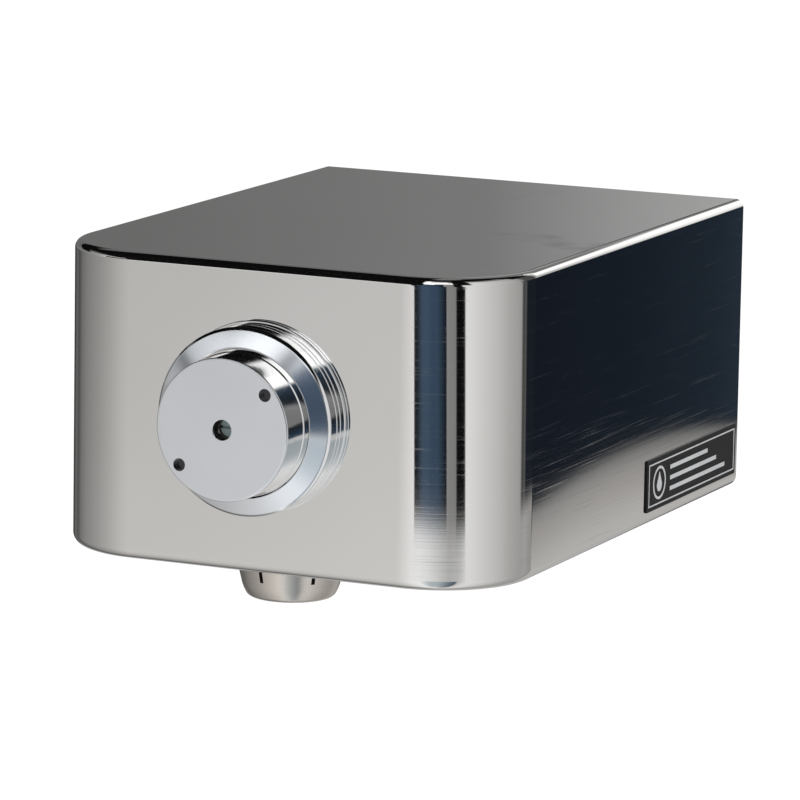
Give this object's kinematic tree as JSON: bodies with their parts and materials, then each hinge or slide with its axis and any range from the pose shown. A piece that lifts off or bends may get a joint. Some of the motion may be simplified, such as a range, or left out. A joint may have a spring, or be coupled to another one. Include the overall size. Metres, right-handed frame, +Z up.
{
  "type": "push-button water outlet",
  "caption": "Wall-mounted push-button water outlet: round-cornered polished steel housing, proud round button in front, slotted nozzle underneath.",
  "frame": {"origin": "middle of the face that lies on the wall, at half the housing's height and width", "axes": "+Z up, +Y into the wall, -Y out into the room, +X to the right of a person facing the wall"},
  "size_m": [0.1637, 0.2465, 0.1134],
  "materials": {
    "polished_steel": "mirror-polished stainless sheet with fine polishing lines",
    "mill_steel": "mill-finish stainless sheet",
    "zinc_steel": "bright stainless fasteners",
    "label_black": "black anodised foil label",
    "label_silver": "bare aluminium line work",
    "chrome_plate": "polished chrome plate",
    "satin_chrome": "satin chrome face with a polished side",
    "black_rubber": "moulded rubber",
    "brass": "turned brass",
    "cast_brass": "cast brass, tumbled",
    "adjuster_nylon": "grey-green moulded plastic",
    "spring_steel": "drawn stainless wire and mesh",
    "white_ptfe": "white PTFE",
    "satin_nickel": "satin nickel plate",
    "grey_acetal": "light grey moulded plastic",
    "copper": "drawn copper tube"
  },
  "bodies": {
    "frame": {"housing": "polished_steel", "hang_rail": "mill_steel", "wall_plate": "mill_steel", "weld_nuts": "zinc_steel", "cover_screws": "zinc_steel", "name_plate": "label_black", "name_plate_rim": "label_silver", "name_plate_emblem": "label_silver", "base_ring": "chrome_plate", "bezel": "chrome_plate", "panel_gasket": "black_rubber", "return_spring": "spring_steel", "valve_body": "cast_brass", "valve_seat": "white_ptfe", "cartridge_sleeve": "brass", "cartridge_nut": "brass", "sleeve_o_rings": "black_rubber", "stem_o_ring": "black_rubber", "outlet_gasket": "black_rubber", "outlet_spud": "brass", "nozzle": "satin_nickel", "nozzle_screen": "spring_steel", "flow_straightener": "grey_acetal", "snap_ring": "spring_steel", "inlet_adapter": "brass", "adapter_screws": "zinc_steel", "stop_body": "cast_brass", "stop_seats": "white_ptfe", "packing_ring": "white_ptfe", "packing_nut": "brass", "strainer_body": "cast_brass", "strainer_screen": "spring_steel", "supply_tube": "copper", "tube_nuts": "brass", "ferrules": "brass"},
    "button": {"push_cap": "satin_chrome", "stem": "brass", "poppet": "brass", "poppet_seal": "black_rubber", "poppet_nut": "zinc_steel"},
    "adjuster": {"flow_screw": "adjuster_nylon"},
    "stop_plug": {"stop_ball": "chrome_plate", "stop_spindle": "brass"}
  },
  "joints": [
    {"name": "button_press", "type": "slide", "parent": "frame", "child": "button", "axis": [0, 1, 0], "range_m": [0, 0.0045], "stiffness_N_per_m": 2200, "springref_m": -0.005, "deforming": ["return_spring"]},
    {"name": "adjuster_turn", "type": "hinge", "parent": "button", "child": "adjuster", "pos_m": [0, -0.237, 0.0015], "axis": [0, 1, 0], "range_deg": [-270, 270]},
    {"name": "stop_turn", "type": "hinge", "parent": "frame", "child": "stop_plug", "pos_m": [-0.034, -0.03088, 0.0015], "axis": [0, 0, 1], "range_deg": [0, 90]}
  ]
}
